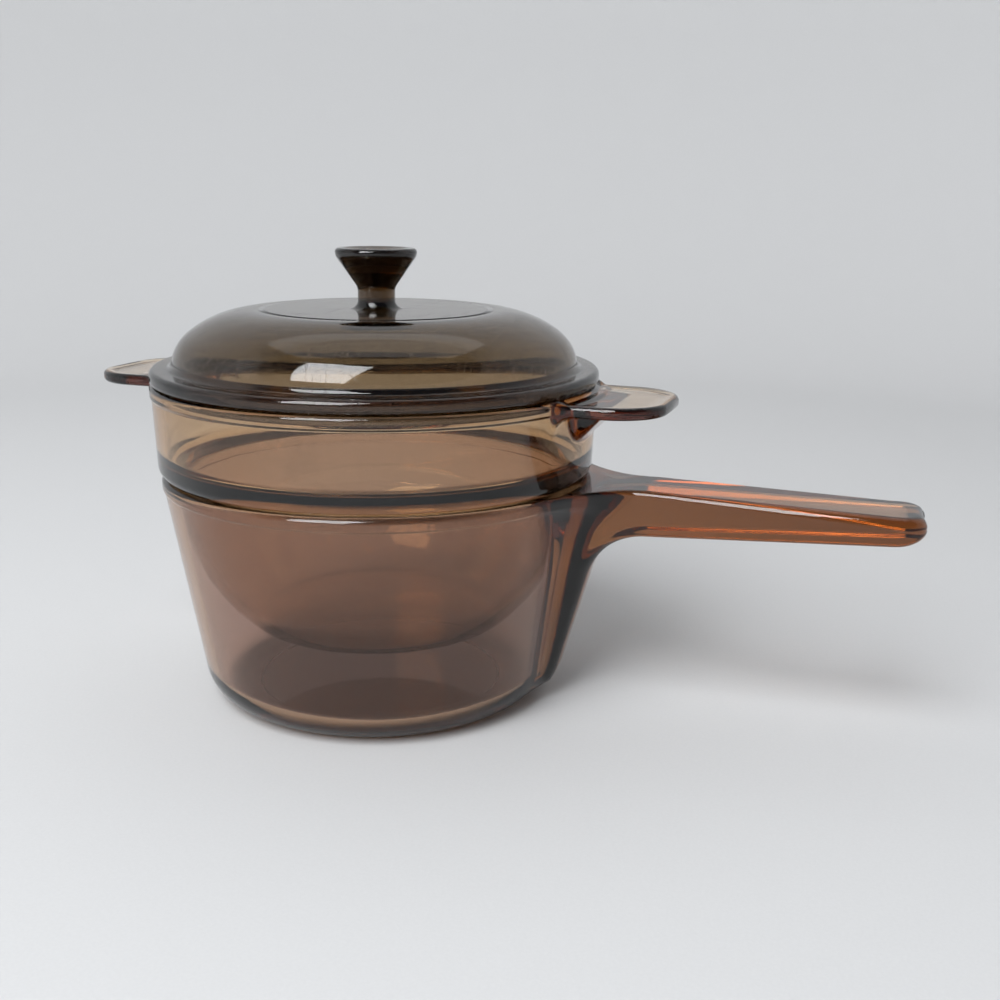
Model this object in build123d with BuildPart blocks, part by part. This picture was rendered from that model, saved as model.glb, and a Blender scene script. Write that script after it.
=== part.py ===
from build123d import *
import math
import os

os.makedirs("parts", exist_ok=True)

# A stove-top double boiler, pressed in clear brown glass.
# Three loose pieces stack on each other: saucepan, insert and lid. All lengths are in millimetres.
# The origin is the centre of the saucepan's foot, on the hob.
# +Z is up and the pan's handle points along +X.

# Fits between the pieces
seat_gap = 0.3
bowl_clearance = 1.3
skirt_clearance = 1.0

# Saucepan, a leaning wall with a bead round the rim
pan_height = 94.0
pan_rim_radius = 87.0
pan_bead_height = 5.4
pan_bead_proud = 0.7
pan_wall = 4.0
pan_rim_width = 5.4
pan_lean = 9.9
pan_corner_radius = 15.5
pan_inner_corner_radius = 12.0
pan_floor = 5.5
pan_lip_round = 2.3
foot_ring_width = 6.8
foot_recess_depth = 0.8

# Long solid handle of the saucepan, placed from the rim's edge and top
handle_length = 129.5
handle_root_rise = 0.5
handle_end_drop = 2.3
handle_root_depth = 18.3
handle_end_depth = 10.9
handle_width_root = 29.0
handle_width_end = 33.6
handle_end_bevel = 13.0
nose_rise = 3.6
nose_fullness = 1.5
handle_draft = 1.0
handle_end_round = 9.4
handle_root_edge = 2.4
handle_end_edge = 4.4
handle_under_round = 1.8
flare_overhang = 28.0
flare_width = 100.0
flare_under_rise = 8.0
flare_station_shares = [0.0, 0.12, 0.26, 0.42, 0.6, 0.8, 1.0]

# Rib that carries the handle down the outside of the wall
root_round = 20.0
rib_foot_height = 3.0
rib_proud = 10.2
rib_face_root = 11.5
rib_face_foot = 7.0
rib_base_root = 27.0
rib_base_foot = 19.0
rib_embed = 1.5
flare_web_share = 1.6
rib_lean = 13.0
root_turns = [rib_lean, 30, 45, 60, 75]
rib_height_shares = [0.0, 0.1, 0.22, 0.45, 0.72]
rib_proud_shares = [-0.15, 0.36, 0.52, 0.66, 0.82]

# Insert, a shallow upper pan whose bowl hangs in the saucepan
insert_upper_height = 36.0
insert_rim_overhang = 3.0
insert_bead_height = 5.0
insert_bead_proud = 0.7
insert_wall = 3.8
insert_rim_width = 5.2
insert_shoulder_overhang = 1.0
insert_shoulder_round = 4.5
insert_ledge_slope = 4.0
insert_ledge_round = 6.0
insert_neck_drop = 4.0
insert_bowl_depth = 64.0
insert_side_radius = 75.0
insert_corner_radius = 12.0
insert_lip_round = 1.6
insert_turn = 4.0

# Two flat tab handles of the insert
tab_length = 32.2
tab_width = 56.6
tab_thickness = 4.6
tab_drop = 1.0
tab_bow = 1.4
tab_corner = 19.0
tab_edge_round = 1.8
tab_root_width = 66.0
tab_border = 4.2
tab_panel_depth = 0.7
tab_panel_round = 12.0
corbel_length = 10.0
corbel_drop = 13.5
corbel_width = 36.0
corbel_round = 2.5

# Lid, a domed plate with a flat disc and a solid knob
lid_flange_width = 8.9
lid_flange_thickness = 5.6
lid_flange_round = 2.2
lid_wall = 4.2
dome_foot_round = 2.5
dome_shoulder_radius = 16.5
dome_shoulder_angle = 51.0
dome_rise = 21.9
dome_slope_width = 36.5
disc_step = 0.3
skirt_depth = 4.5
skirt_taper = 2.6
skirt_round = 1.2

# Knob, a cone on a short neck with a dished top
knob_radius = 16.7
knob_height = 24.2
knob_band = 3.4
knob_band_taper = 0.7
knob_edge_round = 1.6
knob_dish = 1.3
knob_neck_radius = 7.5
knob_neck_height = 8.7
knob_base_round = 3.6
knob_waist_round = 4.0
dish_middle_share = 0.5
dish_depth_share = 0.75

# One overrun for cuts and for hidden ends
overrun = 4.0

# Heights and radii that follow from the sizes above
lean = math.radians(pan_lean)
pan_wall_top_radius = pan_rim_radius - pan_bead_proud
pan_bead_base = pan_height - pan_bead_height
pan_mouth_radius = pan_rim_radius - pan_rim_width
handle_reach = pan_rim_radius + handle_length
flare_reach = pan_rim_radius + flare_overhang
handle_top_root = pan_height + handle_root_rise
handle_top_end = pan_height - handle_end_drop
handle_under_root = handle_top_root - handle_root_depth
handle_under_end = handle_top_end - handle_end_depth
insert_seat = pan_height + seat_gap
insert_top = insert_seat + insert_upper_height
insert_base = insert_seat - insert_bowl_depth
insert_rim_radius = pan_rim_radius + insert_rim_overhang
insert_shoulder_radius = pan_rim_radius + insert_shoulder_overhang
insert_neck_radius = pan_mouth_radius - bowl_clearance
insert_neck_base = insert_seat - insert_neck_drop
insert_mouth_radius = insert_rim_radius - insert_rim_width
tab_reach = insert_rim_radius + tab_length
corbel_reach = insert_rim_radius + corbel_length
lid_seat = insert_top + seat_gap
lid_flange_radius = insert_rim_radius
lid_flange_top = lid_seat + lid_flange_thickness
dome_foot_radius = lid_flange_radius - lid_flange_width
disc_radius = dome_foot_radius - dome_slope_width
disc_height = lid_flange_top + dome_rise


def pan_wall_radius(height):
    """Outside radius of the saucepan below its bead."""
    centre = pan_corner_centre()
    if height < pan_corner_radius * (1 - math.sin(lean)):
        drop = pan_corner_radius - height
        return centre + math.sqrt(pan_corner_radius**2 - drop**2)
    return pan_wall_top_radius - (pan_bead_base - height) * math.tan(lean)


def pan_corner_centre():
    """Distance from the axis to the centre of the rounded corner at the foot."""
    rise = (pan_bead_base - pan_corner_radius) * math.sin(lean)
    return pan_wall_top_radius - (pan_corner_radius + rise) / math.cos(lean)


# The saucepan's outside, as one turned solid
with BuildPart() as pan_outside:
    foot_recess_radius = pan_corner_centre() - foot_ring_width
    with BuildSketch(Plane.XZ):
        with BuildLine():
            Polyline(
                (0, foot_recess_depth),
                (foot_recess_radius - foot_recess_depth, foot_recess_depth),
                (foot_recess_radius, 0),
                (pan_corner_centre(), 0),
            )
            corner = JernArc((pan_corner_centre(), 0), (1, 0), pan_corner_radius, 90 - pan_lean)
            Polyline(
                corner @ 1,
                (pan_wall_top_radius, pan_bead_base),
                (pan_rim_radius, pan_bead_base + pan_bead_proud),
                (pan_rim_radius, pan_height - pan_lip_round),
            )
            JernArc((pan_rim_radius, pan_height - pan_lip_round), (0, 1), pan_lip_round, 90)
            Polyline((pan_rim_radius - pan_lip_round, pan_height), (0, pan_height), (0, foot_recess_depth))
        make_face()
    revolve(axis=Axis.Z)

# The space inside the saucepan
with BuildPart() as pan_inside:
    inner_top = pan_wall_top_radius - pan_wall / math.cos(lean)
    inner_rise = (pan_bead_base - pan_floor - pan_inner_corner_radius) * math.sin(lean)
    inner_centre = inner_top - (pan_inner_corner_radius + inner_rise) / math.cos(lean)
    with BuildSketch(Plane.XZ):
        with BuildLine():
            Line((0, pan_floor), (inner_centre, pan_floor))
            inner_corner = JernArc(
                (inner_centre, pan_floor), (1, 0), pan_inner_corner_radius, 90 - pan_lean
            )
            Polyline(
                inner_corner @ 1,
                (inner_top, pan_bead_base),
                (pan_mouth_radius, pan_bead_base),
                (pan_mouth_radius, pan_height - pan_lip_round),
            )
            lip = JernArc((pan_mouth_radius, pan_height - pan_lip_round), (0, 1), pan_lip_round, -90)
            Polyline(
                lip @ 1,
                (pan_mouth_radius + pan_lip_round, pan_height + overrun),
                (0, pan_height + overrun),
                (0, pan_floor),
            )
        make_face()
    revolve(axis=Axis.Z)


def bar_section(station, half_width, top, bottom, edge_round):
    """Rounded, slightly drafted section of the handle, square to its length."""
    with BuildSketch(Plane.YZ.offset(station)) as section:
        with BuildLine():
            Polyline(
                (-half_width, top),
                (half_width, top),
                (half_width - handle_draft, bottom),
                (handle_draft - half_width, bottom),
                close=True,
            )
        make_face()
        fillet(section.vertices().group_by(Axis.Y)[-1], radius=edge_round)
        fillet(section.vertices().group_by(Axis.Y)[0], radius=handle_under_round)
    return section.sketch


# Handle: a flare out of the rim, a long bar that thins towards its end, and a bevelled nose
with BuildPart() as handle:
    root_half = handle_width_root / 2
    end_half = handle_width_end / 2
    flare_start = math.sqrt(pan_wall_top_radius**2 - (flare_width / 2) ** 2) - pan_wall / 2
    flare_length = flare_reach - flare_start
    flare_rise = (flare_width - handle_width_root) / 2
    flare_radius = (flare_length**2 + flare_rise**2) / (2 * flare_rise)
    flare_sections = []
    for share in flare_station_shares:
        back = flare_length * (1 - share)
        half = root_half + flare_radius - math.sqrt(flare_radius**2 - back**2)
        station = flare_start + flare_length * share
        outside_share = max(0, (station - pan_rim_radius) / flare_overhang)
        top = pan_height + handle_root_rise * outside_share**2 * (3 - 2 * outside_share)
        bottom = handle_under_root + flare_under_rise * (1 - share * share * (3 - 2 * share))
        flare_sections.append(bar_section(station, half, top, bottom, handle_root_edge))
    loft(sections=flare_sections)
    bevel_start = handle_reach - handle_end_bevel
    bar_root = bar_section(flare_reach, root_half, handle_top_root, handle_under_root, handle_root_edge)
    bar_end = bar_section(bevel_start, end_half, handle_top_end, handle_under_end, handle_end_edge)
    loft(sections=[bar_root, bar_end], ruled=True)
    nose_sections = [bar_end]
    for turn in (25, 50, 70, 84):
        swing = math.radians(turn)
        station = bevel_start + handle_end_bevel * math.sin(swing)
        half = end_half - handle_end_round * (1 - math.cos(swing)) ** nose_fullness
        bottom = handle_under_end + nose_rise * math.sin(swing) ** 2
        nose_sections.append(bar_section(station, half, handle_top_end, bottom, handle_end_edge))
    loft(sections=nose_sections)

# Rib sections stacked from the foot up and out along the handle's underside
with BuildPart() as rib:
    lean_sine = math.sin(math.radians(rib_lean))
    lean_cosine = math.cos(math.radians(rib_lean))
    rib_top = handle_under_root - root_round * (1 - lean_sine)
    levels = []
    for height_share, proud_share in zip(rib_height_shares, rib_proud_shares):
        level = rib_foot_height + (rib_top - rib_foot_height) * height_share
        levels.append((level, pan_wall_radius(level) + rib_proud * proud_share, height_share))
    root_start = pan_wall_radius(rib_top) + rib_proud
    for turn in root_turns:
        out = root_round * (lean_cosine - math.cos(math.radians(turn)))
        up = root_round * (math.sin(math.radians(turn)) - lean_sine)
        levels.append((rib_top + up, root_start + out, 1))
    levels.append((handle_under_root + flare_under_rise, root_start + root_round, flare_web_share))
    for level, reach, share in levels:
        face_half = rib_face_foot + (rib_face_root - rib_face_foot) * share
        base_half = rib_base_foot + (rib_base_root - rib_base_foot) * share
        wall_here = pan_wall_radius(level)
        base_start = math.sqrt(wall_here**2 - base_half**2) - rib_embed
        with BuildSketch(Plane.XY.offset(level)):
            with BuildLine():
                Bezier((base_start, base_half), (wall_here, base_half / 2), (reach, face_half), (reach, 0))
                mirror(about=Plane.XZ)
                Line((base_start, -base_half), (base_start, base_half))
            make_face()
    loft()

# The saucepan in one piece
with BuildPart() as saucepan:
    add(pan_outside.part)
    add(handle.part)
    add(rib.part)
    add(pan_inside.part, mode=Mode.SUBTRACT)
saucepan.part.label = "saucepan"
export_step(saucepan.part, "parts/saucepan.step")

# The insert's outside: bead, upper wall, shoulder that sits on the pan's rim, and hanging bowl
corner_centre = insert_base + insert_corner_radius
side_drop = insert_neck_base - corner_centre
side_turn = math.degrees(math.asin(side_drop / (insert_side_radius - insert_corner_radius)))
ledge_top = insert_seat + insert_wall
bead_base = insert_top - insert_bead_height
wall_top = insert_rim_radius - insert_bead_proud
with BuildPart() as insert_outside:
    with BuildSketch(Plane.XZ) as outside_section:
        with BuildLine():
            neck = Line((insert_neck_radius, insert_seat), (insert_neck_radius, insert_neck_base))
            side_arc = JernArc(neck @ 1, (0, -1), insert_side_radius, -side_turn)
            bowl_corner = JernArc(side_arc @ 1, side_arc % 1, insert_corner_radius, side_turn - 90)
            Polyline(
                bowl_corner @ 1,
                (0, insert_base),
                (0, insert_top),
                (insert_rim_radius, insert_top),
                (insert_rim_radius, bead_base + insert_bead_proud),
                (wall_top, bead_base),
                (insert_shoulder_radius, insert_seat),
                neck @ 0,
            )
        make_face()
        shoulder = outside_section.vertices().sort_by_distance((insert_shoulder_radius, insert_seat))[0]
        fillet(shoulder, radius=insert_shoulder_round)
        rim_edge = outside_section.vertices().sort_by_distance((insert_rim_radius, insert_top))[0]
        fillet(rim_edge, radius=insert_lip_round)
    revolve(axis=Axis.Z)

# The space inside the insert
with BuildPart() as insert_inside:
    inner_neck = insert_neck_radius - insert_wall
    inner_shoulder = insert_shoulder_radius - insert_wall
    with BuildSketch(Plane.XZ) as inside_section:
        with BuildLine():
            inner_side = JernArc(
                (inner_neck, insert_neck_base), (0, -1), insert_side_radius - insert_wall, -side_turn
            )
            inner_bowl = JernArc(
                inner_side @ 1, inner_side % 1, insert_corner_radius - insert_wall, side_turn - 90
            )
            lip = JernArc(
                (insert_mouth_radius, insert_top - insert_lip_round), (0, 1), insert_lip_round, -90
            )
            Polyline(
                inner_bowl @ 1,
                (0, insert_base + insert_wall),
                (0, insert_top + overrun),
                (insert_mouth_radius + insert_lip_round, insert_top + overrun),
                lip @ 1,
            )
            Polyline(
                lip @ 0,
                (insert_mouth_radius, bead_base),
                (inner_shoulder, ledge_top + insert_ledge_slope),
                (inner_neck, ledge_top),
                (inner_neck, insert_neck_base),
            )
        make_face()
        for place in ((inner_shoulder, ledge_top + insert_ledge_slope), (inner_neck, ledge_top)):
            fillet(inside_section.vertices().sort_by_distance(place)[0], radius=insert_ledge_round)
    revolve(axis=Axis.Z)

# One tab handle along +X: a flat plate with a sunk panel, on a corbel that carries it from the wall
with BuildPart() as tab:
    tab_top = insert_top - tab_drop
    tab_half = tab_width / 2
    root_reach = math.sqrt(wall_top**2 - (tab_root_width / 2) ** 2) - insert_wall / 2
    with BuildSketch(Plane.XY.offset(tab_top - tab_thickness)) as tab_plan:
        with BuildLine():
            Polyline(
                (tab_reach - tab_bow, -tab_half),
                (wall_top, -tab_half),
                (root_reach, -tab_root_width / 2),
                (root_reach, tab_root_width / 2),
                (wall_top, tab_half),
                (tab_reach - tab_bow, tab_half),
            )
            ThreePointArc((tab_reach - tab_bow, tab_half), (tab_reach, 0), (tab_reach - tab_bow, -tab_half))
        make_face()
        fillet(tab_plan.vertices().group_by(Axis.X)[-1], radius=tab_corner)
    extrude(amount=tab_thickness)
    outer_edges = tab.edges().filter_by(lambda e: e.center().X > wall_top and e.length > tab_thickness)
    fillet(outer_edges, radius=tab_edge_round)
    panel_length = tab_reach - wall_top - 2 * tab_border
    panel_width = tab_width - 2 * tab_border
    with BuildSketch(Plane.XY.offset(tab_top)):
        with Locations(((wall_top + tab_reach) / 2, 0)):
            RectangleRounded(panel_length, panel_width, tab_panel_round)
    extrude(amount=-tab_panel_depth, mode=Mode.SUBTRACT)

# The corbel under the tab: it slopes from the wall out to the plate and is rounded off below
with BuildPart() as corbel:
    plate_base = tab_top - tab_thickness
    corbel_base = plate_base - corbel_drop
    corbel_wall = wall_top - insert_wall / 2
    with BuildSketch(Plane.XZ):
        Polygon(
            (root_reach, tab_top - tab_edge_round),
            (corbel_reach, tab_top - tab_edge_round),
            (corbel_reach, plate_base),
            (corbel_wall, corbel_base),
            (root_reach, corbel_base),
            align=None,
        )
    extrude(amount=corbel_width / 2, both=True)
    with BuildSketch(Plane.YZ):
        with Locations((0, plate_base)):
            Ellipse(corbel_width / 2, corbel_drop)
    extrude(amount=corbel_reach, mode=Mode.INTERSECT)
    slope_face = corbel.faces().filter_by(lambda f: f.normal_at().X > 0.1).sort_by(Axis.Z)[0]
    fillet(slope_face.edges().filter_by(GeomType.LINE, reverse=True), radius=corbel_round)

# The insert with its two tabs, which stand a little off the pan handle's line
with BuildPart() as insert:
    add(insert_outside.part)
    for turn in (-insert_turn, 180 - insert_turn):
        add([tab.part, corbel.part], rotation=(0, 0, turn))
    add(insert_inside.part, mode=Mode.SUBTRACT)
insert.part.label = "insert"
export_step(insert.part, "parts/insert.step")

# Lid, turned in one piece with its knob
with BuildPart() as lid:
    knob_top = disc_height + knob_height
    band_base = knob_top - knob_band
    neck_top = disc_height + knob_neck_height
    skirt_radius = insert_mouth_radius - skirt_clearance
    skirt_base = lid_seat - skirt_depth
    with BuildSketch(Plane.XZ) as lid_section:
        with BuildLine():
            dish = ThreePointArc(
                (0, knob_top - knob_dish),
                (knob_radius * dish_middle_share, knob_top - knob_dish * dish_depth_share),
                (knob_radius - 2 * knob_edge_round, knob_top),
            )
            Polyline(
                dish @ 1,
                (knob_radius, knob_top),
                (knob_radius - knob_band_taper, band_base),
                (knob_neck_radius, neck_top),
                (knob_neck_radius, disc_height + disc_step),
                (disc_radius, disc_height + disc_step),
                (disc_radius, disc_height),
            )
            shoulder = JernArc(
                (dome_foot_radius, lid_flange_top), (0, 1), dome_shoulder_radius, dome_shoulder_angle
            )
            TangentArc(shoulder @ 1, (disc_radius, disc_height), tangent=shoulder % 1)
            Polyline(
                (dome_foot_radius, lid_flange_top),
                (lid_flange_radius, lid_flange_top),
                (lid_flange_radius, lid_seat),
                (skirt_radius, lid_seat),
                (skirt_radius, skirt_base),
                (dome_foot_radius - lid_wall + skirt_taper, skirt_base),
                (dome_foot_radius - lid_wall, lid_seat),
                (dome_foot_radius - lid_wall, lid_flange_top),
            )
            inner_shoulder = JernArc(
                (dome_foot_radius - lid_wall, lid_flange_top),
                (0, 1),
                dome_shoulder_radius - lid_wall,
                dome_shoulder_angle,
            )
            TangentArc(
                inner_shoulder @ 1, (disc_radius, disc_height - lid_wall), tangent=inner_shoulder % 1
            )
            Polyline(
                (disc_radius, disc_height - lid_wall),
                (0, disc_height - lid_wall),
                (0, knob_top - knob_dish),
            )
        make_face()
        for place, size in (
            ((knob_radius, knob_top), knob_edge_round),
            ((knob_radius - knob_band_taper, band_base), knob_waist_round),
            ((knob_neck_radius, neck_top), knob_waist_round),
            ((knob_neck_radius, disc_height + disc_step), knob_base_round),
            ((dome_foot_radius, lid_flange_top), dome_foot_round),
            ((lid_flange_radius, lid_flange_top), lid_flange_round),
            ((lid_flange_radius, lid_seat), lid_flange_round),
            ((skirt_radius, skirt_base), skirt_round),
            ((dome_foot_radius - lid_wall + skirt_taper, skirt_base), skirt_round),
        ):
            fillet(lid_section.vertices().sort_by_distance(place)[0], radius=size)
    revolve(axis=Axis.Z)
lid.part.label = "lid"
export_step(lid.part, "parts/lid.step")
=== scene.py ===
import math
import bpy
import bmesh
import numpy as np
from mathutils import Matrix, Vector


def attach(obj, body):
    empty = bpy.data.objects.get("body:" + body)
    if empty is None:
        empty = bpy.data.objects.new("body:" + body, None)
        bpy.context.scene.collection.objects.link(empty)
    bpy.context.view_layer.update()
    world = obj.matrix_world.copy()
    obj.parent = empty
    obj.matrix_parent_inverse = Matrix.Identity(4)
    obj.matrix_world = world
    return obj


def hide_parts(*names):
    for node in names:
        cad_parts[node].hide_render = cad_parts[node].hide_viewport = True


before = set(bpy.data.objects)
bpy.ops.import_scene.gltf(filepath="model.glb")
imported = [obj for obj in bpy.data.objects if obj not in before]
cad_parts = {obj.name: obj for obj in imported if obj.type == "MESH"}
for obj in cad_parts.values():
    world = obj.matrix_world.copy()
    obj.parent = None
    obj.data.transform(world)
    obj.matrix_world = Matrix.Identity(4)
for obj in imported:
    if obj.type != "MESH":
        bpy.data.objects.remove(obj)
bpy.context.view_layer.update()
scene = bpy.context.scene
mm = 0.001  # the glass is worked out in millimetres, as the CAD is, and made in metres

mould = {  # what every turned body shares
    "columns": 288,  # segments round the body
    "arcStep": 6.0,  # degrees between the points of a rounded corner
    "arcRun": 2.6,  # longest step along a large arc
    "arcFewest": 3,  # steps on a corner, however small it is
    "longRun": 3.2,  # longest step along a straight side
    "support": 0.35,  # distance of the first point beside a rounded corner
    "samePoint": 0.01,  # points of an outline that are nearer than this are one
    "weld": 0.002,  # and so are points of a turned mesh
}


def roundedPath(corners):  # corners are (radius, height, rounding), in the order they are walked
    spots = []
    for place, (radius, height, rounding) in enumerate(corners):
        here = np.array((radius, height))
        if not rounding:
            spots.append(here)
            continue
        toBack = np.array(corners[place - 1][:2]) - here
        toNext = np.array(corners[place + 1][:2]) - here
        toBack = toBack / np.linalg.norm(toBack)
        toNext = toNext / np.linalg.norm(toNext)
        halfAngle = math.acos(np.clip(toBack @ toNext, -1, 1)) / 2
        turn = math.pi - 2 * halfAngle
        centre = here + (toBack + toNext) / np.linalg.norm(toBack + toNext) * rounding / math.sin(halfAngle)
        first = here + toBack * rounding / math.tan(halfAngle) - centre
        last = here + toNext * rounding / math.tan(halfAngle) - centre
        byAngle, byLength = math.degrees(turn) / mould["arcStep"], turn * rounding / mould["arcRun"]
        steps = max(mould["arcFewest"], math.ceil(byAngle), math.ceil(byLength))
        for share in np.linspace(0, 1, steps + 1):
            swing = first * math.sin((1 - share) * turn) + last * math.sin(share * turn)
            spots.append(centre + swing / math.sin(turn))
    path = [spots[0]]
    for spot in spots[1:]:
        start = path[-1]
        length = np.linalg.norm(spot - start)
        if length < mould["samePoint"]:
            continue
        if length > mould["longRun"]:  # long sides get points between, and one close to each end
            steps = math.ceil(length / mould["longRun"])
            inner = length - 2 * mould["support"]
            for step in range(steps + 1):
                path.append(start + (spot - start) * (mould["support"] + inner * step / steps) / length)
        path.append(spot)
    return np.array(path)


def rowAt(outline, radius, height):  # the row of the outline's point nearest to a place
    return int(np.argmin(np.hypot(outline[:, 0] - radius, outline[:, 1] - height)))


def rowPast(outline, lastRow, radius, height):  # the first row outside a radius and above a height
    return next(i for i in range(lastRow) if outline[i, 0] > radius and outline[i, 1] > height)


def link(tree, source, target):
    tree.links.new(source, target)


def mathNode(tree, operation, *values):  # values are numbers or sockets
    node = tree.nodes.new("ShaderNodeMath")
    node.operation = operation
    for socket, value in zip(node.inputs, values):
        if isinstance(value, (int, float)):
            socket.default_value = value
        else:
            link(tree, value, socket)
    return node.outputs[0]


def turningTree():  # turns an outline of points round the upright, and closes its seam and poles
    tree = bpy.data.node_groups.new("turnedGlass", "GeometryNodeTree")
    wanted = (("Outline", "Geometry"), ("Columns", "Int"), ("Seam Turn", "Float"), ("Glass", "Material"))
    for name, kind in wanted:
        tree.interface.new_socket(name, in_out="INPUT", socket_type="NodeSocket" + kind)
    tree.interface.new_socket("Turned Glass", in_out="OUTPUT", socket_type="NodeSocketGeometry")
    put = tree.nodes.new("NodeGroupInput")
    count = tree.nodes.new("GeometryNodeAttributeDomainSize")
    link(tree, put.outputs["Outline"], count.inputs["Geometry"])
    points = count.outputs["Point Count"]
    grid = tree.nodes.new("GeometryNodeMeshGrid")
    link(tree, mathNode(tree, "ADD", put.outputs["Columns"], 1), grid.inputs["Vertices X"])
    link(tree, points, grid.inputs["Vertices Y"])
    index = tree.nodes.new("GeometryNodeInputIndex").outputs[0]
    column = mathNode(tree, "FLOOR", mathNode(tree, "DIVIDE", mathNode(tree, "ADD", index, 0.5), points))
    row = mathNode(tree, "SUBTRACT", index, mathNode(tree, "MULTIPLY", column, points))
    sample = tree.nodes.new("GeometryNodeSampleIndex")
    sample.data_type = "FLOAT_VECTOR"
    link(tree, put.outputs["Outline"], sample.inputs["Geometry"])
    link(tree, tree.nodes.new("GeometryNodeInputPosition").outputs[0], sample.inputs["Value"])
    link(tree, row, sample.inputs["Index"])
    split = tree.nodes.new("ShaderNodeSeparateXYZ")
    link(tree, sample.outputs[0], split.inputs[0])
    angle = mathNode(tree, "DIVIDE", mathNode(tree, "MULTIPLY", column, math.tau), put.outputs["Columns"])
    angle = mathNode(tree, "ADD", angle, put.outputs["Seam Turn"])
    join = tree.nodes.new("ShaderNodeCombineXYZ")
    for axis, wave in (("X", "COSINE"), ("Y", "SINE")):
        reach = mathNode(tree, "MULTIPLY", split.outputs["X"], mathNode(tree, wave, angle))
        link(tree, reach, join.inputs[axis])
    link(tree, split.outputs["Z"], join.inputs["Z"])
    place = tree.nodes.new("GeometryNodeSetPosition")
    link(tree, grid.outputs["Mesh"], place.inputs["Geometry"])
    link(tree, join.outputs[0], place.inputs["Position"])
    geometry = place.outputs[0]
    for name, value in (("row", row), ("column", column)):  # so that a limb can find its hole
        store = tree.nodes.new("GeometryNodeStoreNamedAttribute")
        store.data_type = "INT"
        store.inputs["Name"].default_value = name
        link(tree, geometry, store.inputs["Geometry"])
        link(tree, value, store.inputs["Value"])
        geometry = store.outputs[0]
    merge = tree.nodes.new("GeometryNodeMergeByDistance")
    merge.inputs["Distance"].default_value = mould["weld"] * mm
    smooth = tree.nodes.new("GeometryNodeSetShadeSmooth")
    real = tree.nodes.new("GeometryNodeRealizeInstances")
    paint = tree.nodes.new("GeometryNodeSetMaterial")
    link(tree, put.outputs["Glass"], paint.inputs["Material"])
    for node in (merge, smooth, real, paint):
        link(tree, geometry, node.inputs["Geometry"])
        geometry = node.outputs[0]
    link(tree, geometry, tree.nodes.new("NodeGroupOutput").inputs[0])
    return tree


def turnedBody(name, outline, seamTurn, glass):  # a plain mesh from the tree, and the same points as a grid
    line = bpy.data.meshes.new(name + "Outline")
    line.from_pydata([(radius * mm, 0, height * mm) for radius, height in outline],
                     [(i, i + 1) for i in range(len(outline) - 1)], [])
    holder = bpy.data.objects.new(name + "Outline", line)
    scene.collection.objects.link(holder)
    turning = holder.modifiers.new("turning", "NODES")
    turning.node_group = lathe
    sockets = {item.name: item.identifier for item in lathe.interface.items_tree if item.in_out == "INPUT"}
    turning[sockets["Columns"]] = mould["columns"]
    turning[sockets["Seam Turn"]] = math.radians(seamTurn)
    turning[sockets["Glass"]] = glass
    mesh = bpy.data.meshes.new_from_object(holder.evaluated_get(bpy.context.evaluated_depsgraph_get()))
    bpy.data.objects.remove(holder)
    bpy.data.meshes.remove(line)
    angles = math.radians(seamTurn) + math.tau * np.arange(mould["columns"] + 1) / mould["columns"]
    radius, height = outline.T
    grid = np.stack([
        np.cos(angles)[:, None] * radius,
        np.sin(angles)[:, None] * radius,
        np.broadcast_to(height, (len(angles), len(height))),
    ], axis=2)
    return {"mesh": mesh, "grid": grid, "limbs": []}


def smoothStep(low, high, value):
    share = np.clip((value - low) / (high - low), 0, 1)
    return share * share * (3 - 2 * share)


# distance from a turned outside whose path goes upwards, negative in the glass
def sideDistance(path, radius, height):
    start = path[:-1]
    along = path[1:] - start
    relR = radius[:, None] - start[None, :, 0]
    relZ = height[:, None] - start[None, :, 1]
    share = np.clip((relR * along[:, 0] + relZ * along[:, 1]) / (along**2).sum(axis=1), 0, 1)
    gapR = relR - share * along[:, 0]
    gapZ = relZ - share * along[:, 1]
    distance = np.hypot(gapR, gapZ)
    rows = np.arange(len(radius))
    nearest = distance.argmin(axis=1)
    outward = gapR[rows, nearest] * along[nearest, 1] - gapZ[rows, nearest] * along[nearest, 0]
    return distance[rows, nearest] * np.where(outward < 0, -1, 1)


def roundUnion(a, b, reachA, reachB):  # joins two forms with a hollow rounding
    shareA = np.maximum(1 - a / reachA, 0)
    shareB = np.maximum(1 - b / reachB, 0)
    form = np.maximum(1, np.minimum(a / reachA, b / reachB)) - np.hypot(shareA, shareB)
    return form * (shareA * reachA + shareB * reachB + 1e-6 * reachA) / (shareA + shareB + 1e-6)


def roundCut(a, b, rounding):  # keeps what lies in both forms, with a rounded edge
    edge = np.hypot(np.maximum(rounding + a, 0), np.maximum(rounding + b, 0))
    return np.minimum(-rounding, np.maximum(a, b)) + edge


fitting = {  # how points are moved on a form, in millimetres
    "probe": 0.02,  # step over which the form's slope is felt
    "leastSlope": 0.05,  # squared, so that no point flies off where the form is flat
    "longestMove": 4.0,
    "settles": 3,  # rounds of settling before and after the passes
    "leastSpacing": 0.02,
    "stride": 0.7,  # share of the wished move that one pass makes
    "roundShare": 0.5,  # how much of the wish is for even rings; the rest is for even lines
}


def settle(shape, spots, times):  # moves points onto the form's surface
    for _ in range(times):
        value = shape(spots)
        probes = np.eye(3) * fitting["probe"]
        slope = np.stack([shape(spots + step) for step in probes], axis=1) - value[:, None]
        slope /= fitting["probe"]
        move = slope * (value / np.maximum((slope**2).sum(axis=1), fitting["leastSlope"]))[:, None]
        length = np.linalg.norm(move, axis=1)
        spots = spots - move * np.minimum(1, fitting["longestMove"] / np.maximum(length, 1e-9))[:, None]
    return spots


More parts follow.
